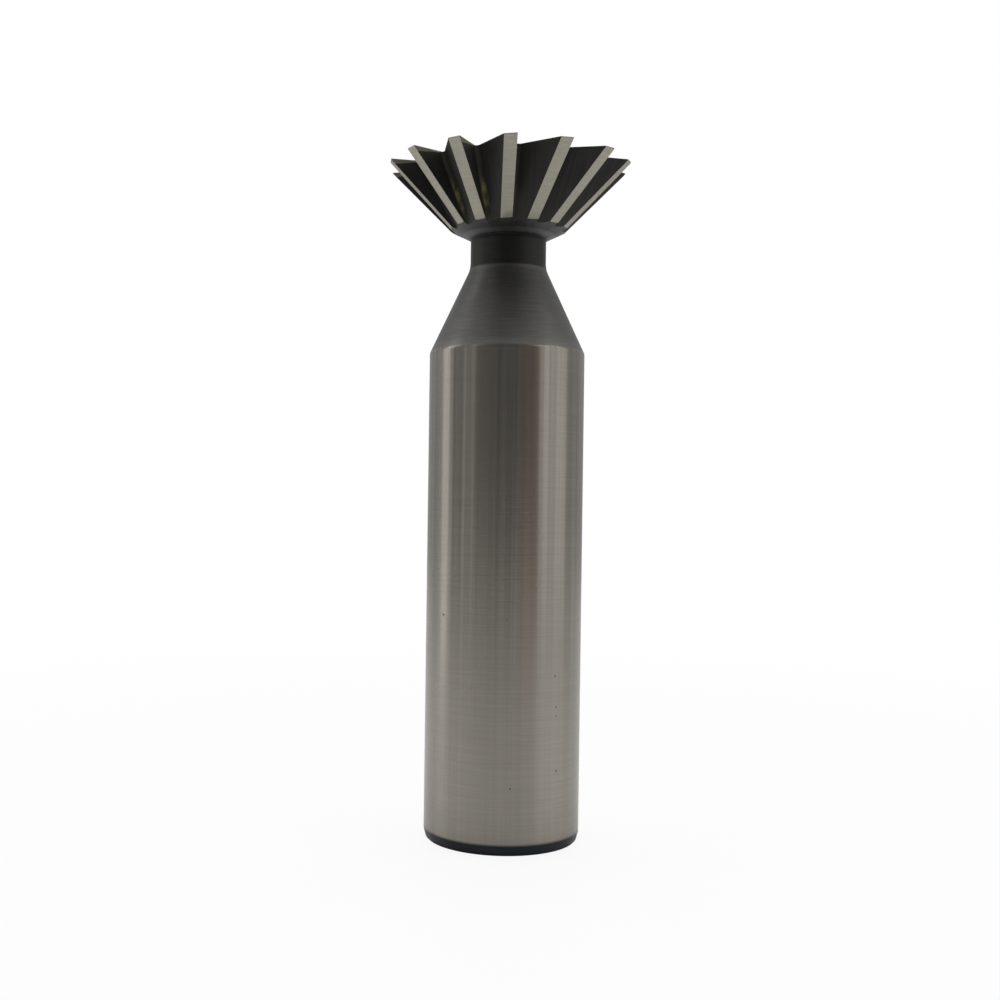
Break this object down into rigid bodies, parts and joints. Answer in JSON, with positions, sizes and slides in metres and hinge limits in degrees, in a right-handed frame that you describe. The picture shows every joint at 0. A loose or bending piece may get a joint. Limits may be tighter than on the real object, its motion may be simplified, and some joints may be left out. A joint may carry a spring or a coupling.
{
  "type": "dovetail cutter",
  "caption": "Dovetail milling cutter: a round chamfered shank tapers to a slim neck under a flared 45 degree head with straight V-shaped flutes and ground lands.",
  "frame": {"origin": "centre of the flat end face of the shank, which the tool stands on", "axes": "+Z along the tool's axis from the shank end towards the toothed head; the cutting edge of one tooth lies in the plane of +X and +Z"},
  "size_m": [0.025, 0.0246, 0.0693],
  "materials": {
    "tool_steel": "ground shank and lands, blackened flutes, neck and chamfer"
  },
  "bodies": {
    "root": {"dovetail_cutter": "tool_steel"}
  },
  "joints": []
}
